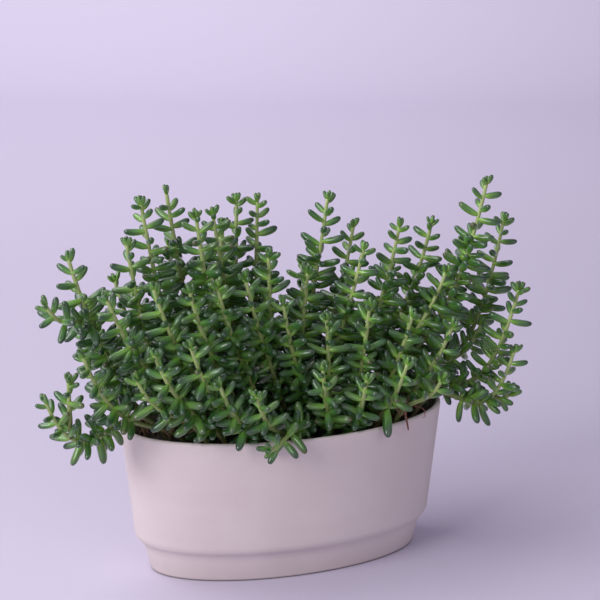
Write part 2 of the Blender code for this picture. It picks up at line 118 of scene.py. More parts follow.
class Shader:
    """A material's nodes, round one Principled shader."""

    def __init__(self, name: str) -> None:
        """Start a material.

        Args:
            name: The material's name.
        """
        self.material = bpy.data.materials.new(name)
        self.material.use_nodes = True
        self.tree = self.material.node_tree
        self.surface = self.tree.nodes["Principled BSDF"]

    def add(
        self,
        kind: str,
        settings: dict[str, object] | None = None,
        inputs: dict[str | int, object] | None = None,
        output: str | int = 0,
    ) -> Value:
        """Add a node.

        Args:
            kind: The node's type, without the word ShaderNode before it.
            settings: The node's own settings; stops sets the stops of a colour ramp.
            inputs: Numbers, colours or values for its input sockets.
            output: The output socket wanted.

        Returns:
            That output socket.
        """
        node = self.tree.nodes.new("ShaderNode" + kind)
        for key, setting in (settings or {}).items():
            if key == "stops":
                self._set_stops(node.color_ramp, setting)
            else:
                setattr(node, key, setting)
        for key, value in (inputs or {}).items():
            self.feed(node.inputs[key], value)
        return Value(self, node.outputs[output])

    @staticmethod
    def _set_stops(ramp: ColorRamp, stops: Sequence[tuple[float, Colour]]) -> None:
        """Give a colour ramp its stops.

        Args:
            ramp: The ramp.
            stops: The place and colour of each stop.
        """
        while len(ramp.elements) < len(stops):
            ramp.elements.new(1)
        for element, (place, colour) in zip(ramp.elements, stops, strict=True):
            element.position = place
            element.color = (*colour, 1)

    def feed(self, socket: NodeSocket, value: object) -> None:
        """Link a value to a socket, or set the socket's own number or colour.

        Args:
            socket: The socket.
            value: A value of this shader, a number, or a colour.
        """
        if isinstance(value, Value):
            self.tree.links.new(value.socket, socket)
        elif isinstance(value, tuple) and len(socket.default_value) > len(value):
            socket.default_value = (*value, 1)
        else:
            socket.default_value = value

    def set(self, **values: object) -> Material:
        """Feed the Principled shader and give the material back.

        Args:
            **values: What goes to each socket, by its name with _ for a space.

        Returns:
            The material.
        """
        for name, value in values.items():
            self.feed(self.surface.inputs[name.replace("_", " ")], value)
        return self.material

    def place(self) -> Value:
        """Where a point lies on its piece, in metres."""
        return self.add("TexCoord", output="Object")

    def height(self) -> Value:
        """How high a point lies on its piece, in metres."""
        return self.add("SeparateXYZ", inputs={0: self.place()}, output="Z")

    def mark(self, name: str) -> Value:
        """A number that the mesh carries at each point."""
        return self.add("Attribute", {"attribute_name": name}, output="Fac")

    def grain(self, scale: float, detail: float = 3.0, stretch: Triple = (1, 1, 1)) -> Value:
        """Soft noise from 0 to 1: lumps to a metre, finer layers, and how much closer along each axis."""
        place = self.add("VectorMath", {"operation": "MULTIPLY"}, {0: self.place(), 1: stretch})
        return self.add("TexNoise", inputs={"Vector": place, "Scale": scale, "Detail": detail})

    def cells(self, scale: float) -> Value:
        """Distance to the nearest of many scattered points, so many to a metre."""
        return self.add("TexVoronoi", inputs={"Vector": self.place(), "Scale": scale})

    def ramp(self, value: Value, stops: Sequence[tuple[float, Colour]]) -> Value:
        """A colour for each height of a value."""
        return self.add("ValToRGB", {"stops": stops}, {"Fac": value})

    def blend(self, factor: Value | float, under: object, over: object, way: Blend = Blend.MIX) -> Value:
        """One colour with another laid over it, as far as the factor says."""
        settings = {"data_type": "RGBA", "blend_type": way.value}
        return self.add("Mix", settings, {0: factor, 6: under, 7: over}, output=2)

    def relief(self, height: Value, depth: float, strength: float = 1.0) -> Value:
        """A normal that follows a height; a height of 1 stands for the depth, in metres."""
        inputs = {"Strength": strength, "Distance": depth, "Height": height}
        return self.add("Bump", inputs=inputs, output="Normal")


@dataclass(frozen=True)
class Bisque:
    """Unglazed pinkish clay, fired off-white: chalky, faintly clouded, with a fine sandy tooth."""

    body: Colour = (0.655, 0.565, 0.56)
    cloud: Colour = (0.73, 0.65, 0.64)
    smudge: Colour = (0.50, 0.42, 0.40)
    # Colour of the painted contact shadow round the foot's bottom edge.
    painted_contact_shadow: Colour = (0.10, 0.085, 0.085)
    roughness: float = 0.82

    def make(self) -> Material:
        """Make the finish.

        Returns:
            Its material.
        """
        shader = Shader("bisque_clay")
        clouds = shader.grain(21, 5).between(0.3, 0.8)
        turning = shader.grain(38, 4, (0.25, 0.25, 3.2)).between(0.45, 0.75)
        stains = shader.grain(61, 6).between(0.6, 0.8)
        sand = shader.grain(1900, 2)
        pits = 1 - shader.cells(420).between(0.0, 0.16)
        low = 1 - shader.height().between(0.0, 15 * MM)
        colour = shader.blend(clouds * 0.6, self.body, self.cloud)
        colour = shader.blend(turning * 0.16, colour, self.cloud)
        colour = shader.blend(stains * 0.1, colour, self.smudge)
        colour = shader.blend(pits * 0.16, colour, self.smudge)
        colour = shader.blend(low * 0.22, colour, self.smudge)
        # Painted contact shadow: the bottom 1.7 mm of the foot, where it meets the floor, is darkened.
        edge = 1 - shader.height().between(0.4 * MM, 1.7 * MM)
        colour = shader.blend(edge * 0.8, colour, self.painted_contact_shadow)
        height = sand * 0.5 + clouds * 0.3 - pits * 0.5
        return shader.set(
            Base_Color=colour,
            Roughness=self.roughness + sand * 0.1,
            Specular_IOR_Level=0.3,
            Normal=shader.relief(height, 0.12 * MM, 0.5),
        )


@dataclass(frozen=True)
class Potting:
    """Dark crumbly potting mix with paler grit."""

    damp: Colour = (0.012, 0.009, 0.008)
    dry: Colour = (0.07, 0.05, 0.038)
    grit: Colour = (0.34, 0.30, 0.27)

    def make(self) -> Material:
        """Make the finish.

        Returns:
            Its material.
        """
        shader = Shader("potting_mix")
        crumbs = shader.grain(420, 6)
        bits = 1 - shader.cells(260).between(0.05, 0.17)
        rare = shader.grain(95, 2).between(0.56, 0.66)
        colour = shader.blend(crumbs.between(0.35, 0.72), self.damp, self.dry)
        colour = shader.blend(bits * rare, colour, self.grit)
        return shader.set(
            Base_Color=colour,
            Roughness=0.95 - crumbs * 0.1,
            Normal=shader.relief(crumbs, 1.2 * MM, 0.9),
        )


@dataclass(frozen=True)
class LeafSkin:
    """A plump leaf: yellow-green at its neck and below, deep green above and at its tip, thinly glossy."""

    neck: Colour = (0.32, 0.52, 0.075)
    belly: Colour = (0.15, 0.345, 0.042)
    back: Colour = (0.055, 0.175, 0.034)
    tip: Colour = (0.015, 0.050, 0.020)
    # A waxy bloom colour, which also serves as a painted sheen on the upper side.
    young: Colour = (0.22, 0.42, 0.055)
    bloom_and_sheen: Colour = (0.20, 0.32, 0.18)
    spent: Colour = (0.10, 0.095, 0.09)
    rust: Colour = (0.095, 0.055, 0.022)

    def make(self) -> Material:
        """Make the finish.

        Returns:
            Its material.
        """
        shader = Shader("leaf_skin")
        along, upper, shade = shader.mark("along"), shader.mark("upper"), shader.mark("shade")
        fresh, spent = shader.mark("fresh"), shader.mark("spent")
        patches = shader.grain(160, 3)
        dew = shader.grain(1500, 3)
        depth = along + upper * 0.2 + (patches - 0.5) * 0.2
        stops = ((0.0, self.neck), (0.36, self.belly), (0.74, self.back), (1.0, self.tip))
        colour = shader.ramp(depth, stops)
        colour = shader.blend(fresh * 0.5, colour, self.young)
        colour = shader.blend(shade.between(0.45, 1.0) * 0.45, colour, self.back)
        colour = shader.blend((1 - shade.between(0.0, 0.35)) * 0.35, colour, self.young)
        # Real waxy bloom in patches on the upper side, and a painted sheen there as well.
        dusty_and_sheen = upper.between(0.45, 1.0) * patches.between(0.35, 0.65)
        colour = shader.blend(dusty_and_sheen * 0.22, colour, self.bloom_and_sheen)
        # Painted shade: the leaf's sides, where its surface turns sideways, are darkened towards the tip
        # colour from a tenth of the way along.
        painted_rim_shade = 1 - (upper * upper).between(0.03, 0.34)
        colour = shader.blend(painted_rim_shade * along.between(0.1, 0.5) * 0.5, colour, self.tip)
        end = along.between(0.8, 1.0)
        colour = shader.blend(end * 0.45, colour, self.tip)
        colour = shader.blend(end * fresh.between(0.5, 0.7) * 0.5, colour, self.rust)
        colour = shader.blend(spent, colour, self.spent)
        return shader.set(
            Base_Color=colour,
            Roughness=0.36 + patches * 0.14 + spent * 0.3,
            Specular_IOR_Level=0.35,
            Coat_Weight=1.0,
            Coat_Roughness=0.07,
            Subsurface_Weight=0.12,
            Subsurface_Radius=(0.5 * MM, 1.2 * MM, 0.2 * MM),
            Subsurface_Scale=1.0,
            Normal=shader.relief(dew, 0.06 * MM, 0.35),
        )


@dataclass(frozen=True)
class StemSkin:
    """A stem: light yellow-green at the tip, olive lower down and brownish at the foot."""

    foot: Colour = (0.12, 0.10, 0.042)
    middle: Colour = (0.195, 0.262, 0.07)
    top: Colour = (0.385, 0.475, 0.175)
    scar: Colour = (0.13, 0.062, 0.045)

    def make(self) -> Material:
        """Make the finish.

        Returns:
            Its material.
        """
        shader = Shader("stem_skin")
        along = shader.mark("along") + (shader.grain(60, 2) - 0.5) * 0.3
        streaks = shader.grain(700, 4)
        scars = shader.grain(210, 3).between(0.58, 0.7)
        colour = shader.ramp(along, ((0.05, self.foot), (0.46, self.middle), (0.84, self.top)))
        colour = shader.blend(streaks.between(0.4, 0.8) * 0.35, colour, self.middle, Blend.MULTIPLY)
        colour = shader.blend(scars * (1 - along.between(0.3, 0.8)) * 0.6, colour, self.scar)
        return shader.set(
            Base_Color=colour,
            Roughness=0.45 + streaks * 0.15,
            Normal=shader.relief(streaks, 0.2 * MM, 0.5),
        )


@dataclass(frozen=True)
class DryRoot:
    """A dried air root, reddish brown."""

    dark: Colour = (0.10, 0.035, 0.025)
    light: Colour = (0.26, 0.12, 0.085)

    def make(self) -> Material:
        """Make the finish.

        Returns:
            Its material.
        """
        shader = Shader("dry_root")
        fibres = shader.grain(900, 4)
        colour = shader.blend(fibres.between(0.35, 0.7), self.dark, self.light)
        normal = shader.relief(fibres, 0.2 * MM, 0.7)
        return shader.set(Base_Color=colour, Roughness=0.7 + fibres * 0.2, Normal=normal)


@dataclass(frozen=True)
class StudioPaper:
    """The pale lilac-grey sweep that the planter stands on."""

    tone: Colour = (0.62, 0.57, 0.69)
    fibre: Colour = (0.52, 0.475, 0.59)

    def make(self) -> Material:
        """Make the finish.

        Returns:
            Its material.
        """
        shader = Shader("studio_paper")
        fibres = shader.grain(700, 3)
        colour = shader.blend(fibres.between(0.4, 0.7) * 0.04, self.tone, self.fibre)
        return shader.set(Base_Color=colour, Roughness=0.9, Specular_IOR_Level=0.2)


def put(name: str, data: ID) -> Object:
    """Put a mesh, a camera or a lamp into the scene.

    Args:
        name: The object's name.
        data: What it holds.

    Returns:
        The object.
    """
    item = bpy.data.objects.new(name, data)
    bpy.context.scene.collection.objects.link(item)
    return item


class MeshDraft:
    """Points, faces and marks that are gathered into one mesh."""

    def __init__(self) -> None:
        """Start with nothing."""
        self.points: list[np.ndarray] = []
        self.faces: list[tuple[int, ...]] = []
        self.finish_numbers: list[int] = []
        self.marks: dict[str, list[np.ndarray]] = {}
        self.count = 0

    def add_loft(
        self, rings: np.ndarray, finish: int = 0, marks: dict[str, np.ndarray | float] | None = None
    ) -> None:
        """Skin one closed ring after another, with a fan over each end.

        Args:
            rings: Points by ring, by place round the ring and by axis.
            finish: Which of the piece's materials it takes.
            marks: Numbers by name, that fit an array of rings by places round the ring.
        """
        count, sides = rings.shape[:2]
        ends = np.array([rings[0].mean(0), rings[-1].mean(0)])
        start = self.count
        self.points.append(np.concatenate([rings.reshape(-1, 3), ends]))
        self.count += count * sides + 2
        first, last = start + count * sides, start + count * sides + 1
        top = start + (count - 1) * sides
        for i in range(sides):
            j = (i + 1) % sides
            for low in range(start, top, sides):
                self.faces.append((low + i, low + j, low + sides + j, low + sides + i))
            self.faces.append((start + j, start + i, first))
            self.faces.append((top + i, top + j, last))
        self.finish_numbers += [finish] * (len(self.faces) - len(self.finish_numbers))
        for name, values in (marks or {}).items():
            each = np.broadcast_to(values, (count, sides))
            spread = np.concatenate([each.ravel(), [each[0].mean(), each[-1].mean()]])
            self.marks.setdefault(name, []).append(spread)

    def make(self, name: str, materials: Sequence[Material]) -> Object:
        """Turn the draft into a smooth piece.

        Args:
            name: The piece's name.
            materials: Its materials, in the order of the finish numbers.

        Returns:
            The piece, linked to the scene.
        """
        mesh = bpy.data.meshes.new(name)
        mesh.from_pydata(np.concatenate(self.points).tolist(), [], self.faces)
        for mark, values in self.marks.items():
            layer = mesh.attributes.new(mark, "FLOAT", "POINT")
            layer.data.foreach_set("value", np.concatenate(values).astype(np.float32))
        for material in materials:
            mesh.materials.append(material)
        mesh.polygons.foreach_set("material_index", self.finish_numbers)
        mesh.polygons.foreach_set("use_smooth", [True] * len(mesh.polygons))
        mesh.update()
        return put(name, mesh)


def install(piece: Object, slot: str, *nodes: str) -> Object:
    """Fix a piece to the body in place of its solids.

    Args:
        piece: The piece.
        slot: The record's material slot; it is not used.
        *nodes: The solids that it stands for.

    Returns:
        The piece.
    """
    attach(piece, "root")
    if nodes:
        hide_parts(*nodes)
    log.info("%s: %d faces", piece.name, len(piece.data.polygons))
    return piece


def outward(direction: Vector, degrees: float) -> Vector:
    """A unit vector square to the stem's direction.

    Args:
        direction: The way the stem runs.
        degrees: How far round the stem.

    Returns:
        The vector.
    """
    first = direction.cross(BACK).normalized()
    second = direction.cross(first)
    angle = math.radians(degrees)
    return first * math.cos(angle) + second * math.sin(angle)


class StemLine:
    """A stem's centre line, measured along from its root."""

    def __init__(self, points: Sequence[Vector]) -> None:
        """Measure the line.

        Args:
            points: The points that it runs through.
        """
        self.points = points
        steps = [(end - start).length for start, end in itertools.pairwise(points)]
        self.marks = [0.0, *itertools.accumulate(steps)]
        self.length = self.marks[-1]

    def at(self, distance: float) -> tuple[Vector, Vector]:
        """A place on the line.

        Args:
            distance: How far it is from the root.

        Returns:
            The point there, and the way the stem runs.
        """
        last = len(self.points) - 2
        i = min(max(bisect.bisect_right(self.marks, distance) - 1, 0), last)
        start, end = self.points[i], self.points[i + 1]
        share = (distance - self.marks[i]) / (self.marks[i + 1] - self.marks[i])
        return start.lerp(end, share), (end - start).normalized()


@dataclass
class Leaf:
    """A leaf: its middle line runs out from the stem along aim and curls towards lift."""

    root: Vector
    direction: Vector
    degrees: float
    tilt: float
    length: float
    width: float
    below: float = 0.0
    curl: float = 0.2

    def __post_init__(self) -> None:
        """Work out the leaf's own three ways."""
        side = outward(self.direction, self.degrees)
        angle = math.radians(self.tilt)
        self.aim = side * math.sin(angle) + self.direction * math.cos(angle)
        self.across = self.direction.cross(side).normalized()
        self.lift = self.aim.cross(self.across)

    def at(self, share: float) -> Vector:
        """The point on the leaf's middle line at that share of its length."""
        along = self.length * share
        return self.root + self.aim * along + self.lift * (self.curl * along * share)

    @classmethod
    def reaching(cls, root: Vector, direction: Vector, end: Vector, width: float, below: float) -> "Leaf":
        """A leaf that runs to a given point.

        Args:
            root: Where it grows from.
            direction: The way the stem runs there.
            end: Where its tip would be without its curl.
            width: Its width.
            below: How far it is below its shoot's tip.

        Returns:
            The leaf.
        """
        aim = end - root
        sideways = aim.dot(outward(direction, 0)), aim.dot(outward(direction, 90))
        degrees = math.degrees(math.atan2(sideways[1], sideways[0]))
        tilt = math.degrees(aim.angle(direction))
        return cls(root, direction, degrees, tilt, aim.length, width, below)


class Tip(NamedTuple):
    """The top of a shoot, in mm: its place, and how far its stem arches, turns up and is bare below."""

    x: float
    y: float
    z: float
    rise: float | None = None
    turn: float | None = None
    bare: float | None = None


class Row(NamedTuple):
    """A row of shoots along the planter: where its roots stand, in mm, and its tips from left to right."""

    name: str
    root_y: float
    root_reach: float
    tips: tuple[Tip, ...]


ROWS = (
    Row("front", -34, 55, (
        Tip(-104, -50, 138, rise=22, bare=42), Tip(-97, -62, 155), Tip(-78, -68, 160), Tip(-62, -70, 136),
        Tip(-42, -74, 129), Tip(-34, -74, 96, rise=26, turn=0), Tip(2, -62, 136), Tip(28, -64, 128),
        Tip(54, -62, 134, bare=25), Tip(80, -54, 120, rise=20, bare=32),
    )),
    Row("near", -18, 75, (
        Tip(-152, -32, 125, rise=52, turn=54, bare=49), Tip(-132, -40, 152, turn=40, bare=50),
        Tip(-118, -42, 184), Tip(-92, -46, 188), Tip(-72, -48, 185), Tip(-54, -42, 185),
        Tip(-34, -32, 186), Tip(-12, -34, 169), Tip(14, -36, 158), Tip(40, -38, 164),
        Tip(66, -40, 156), Tip(94, -36, 146, bare=22), Tip(141, -24, 122, rise=38, turn=58, bare=41),
    )),
    Row("middle", 0, 83, (
        Tip(-134, -22, 203, bare=32), Tip(-99, -16, 207, bare=26), Tip(-88, -8, 228), Tip(-70, 2, 231),
        Tip(-58, -16, 220), Tip(-43, 0, 217), Tip(-13, -12, 192), Tip(14, -4, 178),
        Tip(47, -10, 191), Tip(75, 2, 200, turn=30), Tip(102, -8, 172), Tip(130, -2, 223, turn=62),
        Tip(145, -20, 160, rise=30, turn=82), Tip(134, 10, 130, rise=30),
    )),
    Row("far", 18, 75, (
        Tip(-122, 22, 158, bare=24), Tip(-96, 24, 176), Tip(-64, 22, 196), Tip(-32, 16, 206),
        Tip(-20, 26, 218), Tip(-9, 20, 218), Tip(20, 14, 172), Tip(34, 16, 217),
        Tip(54, 24, 197), Tip(80, 26, 168), Tip(102, 16, 196, turn=34), Tip(132, 30, 180),
        Tip(151, 16, 195, turn=96),
    )),
    Row("back", 34, 55, (
        Tip(-104, 44, 142, rise=20), Tip(-80, 54, 160), Tip(-54, 62, 166), Tip(-26, 58, 176),
        Tip(4, 60, 152), Tip(34, 60, 166), Tip(66, 58, 158), Tip(104, 50, 150, rise=20),
    )),
)
# A side shoot leaves another at this share of its stem, counted from the root.
SIDE_SHOOTS = {
    ("near", 1): (0.74, Tip(-141, -42, 139)),
    ("near", 13): (0.64, Tip(145, -14, 93)),
    ("middle", 1): (0.66, Tip(-151, -38, 182)),
}


@dataclass(frozen=True)
class Growth:
    """Where leaves stand on a shoot and how big they grow; pairs stand closer below the open reach."""

    pair_start: float = 2.6 * MM
    open_step: float = 6.2 * MM
    open_reach: float = 42 * MM
    close_step: float = 4.4 * MM
    full_length: float = 16 * MM
    length_start: float = 14 * MM
    length_growth: float = 21 * MM
    slender: float = 0.2
    least_width: float = 1.5 * MM
    tilt_at_tip: float = 50.0
    tilt_gain: float = 38.0
    tilt_growth: float = 9 * MM

    def pair_places(self, leafy: float) -> list[float]:
        """Where the pairs stand.

        Args:
            leafy: How far down from the tip a stem bears leaves.

        Returns:
            How far below the tip each pair stands.
        """
        places = [self.pair_start]
        while places[-1] < leafy:
            is_open = places[-1] < self.open_reach
            places.append(places[-1] + (self.open_step if is_open else self.close_step))
        return places[:-1]

    def length(self, below: float) -> float:
        """Length of a leaf that far below its shoot's tip."""
        return self.full_length * (1 - math.exp(-(below + self.length_start) / self.length_growth))

    def tilt(self, below: float) -> float:
        """How many degrees from the stem a leaf leans that far below its shoot's tip."""
        return self.tilt_at_tip + self.tilt_gain * (1 - math.exp(-below / self.tilt_growth))

    def width(self, length: float) -> float:
        """Width of a leaf of that length."""
        return self.slender * length + self.least_width


@dataclass
class Shoot:
    """A leafy stem: its line and its leaves; the owner is the number that its side shoot shares."""

    line: StemLine
    seed: int
    owner: int
    bare: float | None = None
    bare_share: float = 0.12
    foot_radius: float = 2.0 * MM
    tip_radius: float = 1.2 * MM
    branch: "Shoot | None" = None
    leaves: list[Leaf] = field(default_factory=list)

    def __post_init__(self) -> None:
        """Draw the way that the first pair of leaves faces."""
        self.draw = random.Random(self.seed)
        self.first_turn = self.draw.uniform(0, 360)

    @property
    def leafy(self) -> float:
        """How far down from the tip the stem bears leaves."""
        length = self.line.length
        return length - (length * self.bare_share if self.bare is None else self.bare * MM)

    def radius(self, distance: float) -> float:
        """Radius of the stem that far from its root, to the corners of its solid."""
        left = 1 - distance / self.line.length
        return self.tip_radius + (self.foot_radius - self.tip_radius) * left


def distances(start: Vector, end: Vector, starts: np.ndarray, ends: np.ndarray) -> np.ndarray:
    """The least distance from one segment to each of many.

    Args:
        start: Where the one starts.
        end: Where it ends.
        starts: Where the others start.
        ends: Where they end.

    Returns:
        The distances.
    """
    start, end = np.array(start), np.array(end)
    along, alongs, apart = end - start, ends - starts, start - starts
    a = along @ along
    e = np.maximum((alongs * alongs).sum(1), 1e-12)
    b, c, f = alongs @ along, apart @ along, (alongs * apart).sum(1)
    s = np.clip((b * f - c * e) / np.maximum(a * e - b * b, 1e-15), 0, 1)
    t = np.clip((b * s + f) / e, 0, 1)
    s = np.clip((b * t - c) / a, 0, 1)
    return np.linalg.norm(start + s[:, None] * along - starts - t[:, None] * alongs, axis=1)


class Thicket:
    """The stems and leaves placed so far, as thick segments, to keep new leaves clear of them."""

    def __init__(self) -> None:
        """Start empty."""
        self.rows: list[list[float]] = []
        self.table = np.empty((0, 12))

    def add(
        self, start: Vector, half: Vector, end: Vector, radius: float, owner: int, is_stem: bool = False
    ) -> None:
        """Put in a segment. Leaves of the same shoot are tested against its outer half only."""
        self.rows.append([*start, *half, *end, radius, owner, is_stem])

    def settle(self) -> None:
        """Make what was put in count from here on."""
        if self.rows:
            self.table = np.vstack([self.table, self.rows])
        self.rows = []

    def near(self, point: Vector, reach: float) -> "Thicket":
        """Pick out what lies near a point.

        Args:
            point: The point.
            reach: How near something has to come to it.

        Returns:
            A smaller thicket.
        """
        starts, ends = self.table[:, 0:3], self.table[:, 6:9]
        halves = np.linalg.norm(ends - starts, axis=1) / 2 + self.table[:, 9]
        apart = np.linalg.norm((starts + ends) / 2 - np.array(point), axis=1)
        part = Thicket()
        part.table = self.table[apart < halves + reach]
        return part

    def has_room(self, start: Vector, half: Vector, end: Vector, room: float, owner: int) -> bool:
        """Whether a new leaf would be clear of all the others.

        Args:
            start: Where the leaf starts.
            half: A point half way along it.
            end: Where it ends.
            room: How much room it wants round its middle line.
            owner: The number of its shoot.

        Returns:
            True where it is clear.
        """
        starts, halves, ends = self.table[:, 0:3], self.table[:, 3:6], self.table[:, 6:9]
        wanted = self.table[:, 9] + room
        own, is_stem = self.table[:, 10] == owner, self.table[:, 11] > 0
        whole = distances(start, end, starts, ends) > wanted
        outer = distances(half, end, halves, ends) > wanted
        return bool(np.where(own, outer | is_stem, whole).all())


@dataclass
class Planter:
    """The oval planter: a flat base, a flared foot, a groove, a round shoulder and a thin lip."""

    half_length: float = 100 * MM
    half_width: float = 56.5 * MM
    height: float = 91 * MM
    wall: float = 3.2 * MM
    base_inset: float = 17.2 * MM
    base_flat: float = 4 * MM
    base_bevel: float = 1 * MM
    bevel_run: float = 0.75
    foot_height: float = 14 * MM
    foot_top_inset: float = 13 * MM
    foot_edge: float = 1.5 * MM
    shoulder_inset: float = 7 * MM
    shoulder_height: float = 25 * MM
    shoulder_radius: float = 8 * MM
    shoulder_turns: range = range(60, 1, -6)
    shoulder_hollow: float = 6 * MM
    wall_span: Pair = (0.04, 0.995)
    wall_rings: int = 20
    wall_lean: float = 0.25
    lip_turns: range = range(0, 181, 20)
    lip_depth: float = 1 * MM
    heel_inset: float = 20 * MM
    heel_height: float = 9 * MM
    heel_hollow: float = 3 * MM
    floor_inset: float = 24 * MM
    floor_height: float = 7 * MM
    floor_hollow: float = 2 * MM
    floor_flat: float = 12 * MM
    sides: int = 180

    def oval(self, inset: float, height: float) -> np.ndarray:
        """A ring of the planter's plan.

        Args:
            inset: How far it is drawn in from the rim's outline.
            height: How high it lies.

        Returns:
            The points of the ring.
        """
        turns = np.linspace(0, math.tau, self.sides, endpoint=False)
        length, width = self.half_length - inset, self.half_width - inset
        level = np.full_like(turns, height)
        return np.stack([length * np.cos(turns), width * np.sin(turns), level], axis=1)

    @staticmethod
    def rounded(corners: Sequence[Triple], steps: int = 5) -> list[Pair]:
        """A profile with its corners rounded off.

        Args:
            corners: Inset, height and how far back the rounding starts, for each corner.
            steps: How many stretches a rounded corner has.

        Returns:
            Inset and height of each point.
        """
        points: list[Pair] = []
        for i, (inset, height, reach) in enumerate(corners):
            here = np.array([inset, height])
            if reach == 0:
                points.append((inset, height))
                continue
            before = np.array(corners[i - 1][:2]) - here
            after = np.array(corners[i + 1][:2]) - here
            entry = here + before / np.linalg.norm(before) * reach
            leave = here + after / np.linalg.norm(after) * reach
            for t in np.linspace(0, 1, steps + 1):
                point = (1 - t) ** 2 * entry + 2 * t * (1 - t) * here + t * t * leave
                points.append((float(point[0]), float(point[1])))
        return points

    def profile(self) -> list[Pair]:
        """Work out the planter's profile, from the underside up over the lip to the inner floor.

        Returns:
            Inset and height of each ring.
        """
        lip = self.wall / 2
        rise = self.height - lip - self.shoulder_height
        bend, rim = [], []
        for angle in map(math.radians, self.shoulder_turns):
            inset = self.shoulder_inset + self.shoulder_radius * (1 - math.cos(angle))
            bend.append((inset, self.shoulder_height - self.shoulder_radius * math.sin(angle)))
        for angle in map(math.radians, self.lip_turns):
            rim.append((lip - lip * math.cos(angle), self.height - lip + lip * math.sin(angle)))
        low = self.rounded([
            (self.base_inset + self.base_flat, 0, 0),
            (self.base_inset - self.bevel_run * self.base_bevel, 0, self.base_bevel),
            (self.foot_top_inset, self.foot_height, self.foot_edge),
            (*bend[0], 0),
        ])
        slope = [
            (self.shoulder_inset * (1 - share), self.shoulder_height + rise * share)
            for share in np.linspace(*self.wall_span, self.wall_rings)
        ]
        inside = self.rounded([
            (self.wall, self.height - lip - self.lip_depth, 0),
            (self.shoulder_inset + self.wall, self.shoulder_height, self.shoulder_hollow),
            (self.heel_inset, self.heel_height, self.heel_hollow),
            (self.floor_inset, self.floor_height, self.floor_hollow),
            (self.floor_inset + self.floor_flat, self.floor_height, 0),
        ])
        return [*low, *bend[1:], *slope, *rim, *inside]

    def is_clear(self, point: Vector, room: float, soil_top: float) -> bool:
        """Whether a ball touches neither the planter's wall nor the soil.

        Args:
            point: The ball's middle.
            room: The ball's radius.
            soil_top: How high the soil reaches.

        Returns:
            True where it touches neither.
        """
        if point.z > self.height + room:
            return True
        inside = -self.wall - self.shoulder_inset * self.wall_lean - room
        length, width = self.half_length, self.half_width
        within = math.hypot(point.x / (length + inside), point.y / (width + inside)) < 1
        beyond = math.hypot(point.x / (length + room), point.y / (width + room)) > 1
        return beyond or (within and point.z > soil_top + room)

    def build(self, clay: Material) -> Object:
        """Make the planter.

        Args:
            clay: Its material.

        Returns:
            The piece.
        """
        draft = MeshDraft()
        draft.add_loft(np.stack([self.oval(*point) for point in self.profile()]))
        return install(draft.make("planter_fine", [clay]), "bisque", "pot")


@dataclass
class SoilBed:
    """The potting mix: a plug with a lumpy top, a little below the rim."""

    planter: Planter
    top: float = 79 * MM
    gap: float = 0.3 * MM
    edge_drop: float = 2 * MM
    rings: int = 34
    ring_span: Pair = (0.997, 0.02)
    lump: float = 1.5 * MM
    lump_sink: float = 0.3
    lump_layers: tuple[Pair, ...] = ((90, 0.5), (330, 0.35), (800, 0.25))

    def lumps(self, x: float, y: float) -> float:
        """How high the mix lies there, between about -1 and 1, by layers of so many lumps to a metre."""
        spots = ((size, Vector((x * scale, y * scale, scale))) for scale, size in self.lump_layers)
        return sum(size * noise.noise(spot) for size, spot in spots)

    def build(self, mix: Material) -> Object:
        """Make the plug.

        Args:
            mix: Its material.

        Returns:
            The piece.
        """
        pot = self.planter
        fall = pot.shoulder_inset * (pot.height - self.top) / (pot.height - pot.shoulder_height)
        edge = pot.wall + fall + self.gap
        rings = [
            pot.oval(pot.floor_inset + self.gap, pot.floor_height + self.gap),
            pot.oval(pot.heel_inset + self.gap, pot.heel_height + self.gap),
            pot.oval(pot.shoulder_inset + pot.wall + self.gap, pot.shoulder_height + self.gap),
            pot.oval(edge, self.top - self.edge_drop),
        ]
        for share in np.linspace(*self.ring_span, self.rings):
            ring = pot.oval(edge, self.top) * (share, share, 1)
            ring[:, 2] += [self.lump * (self.lumps(x, y) - self.lump_sink) for x, y, _ in ring]
            rings.append(ring)
        draft = MeshDraft()
        draft.add_loft(np.stack(rings))
        return install(draft.make("soil_bed_fine", [mix]), "earth", "soil")


class Drooper(NamedTuple):
    """A leaf that hangs over the rim: its shoot, how far up the stem it grows, its tip and width in mm."""

    shoot: str
    share: float
    tip: Triple
    width: float


class Spacing(NamedTuple):
    """How far apart leaves stay, and how thick each counts against its true thickness."""

    gap: float
    reach: float


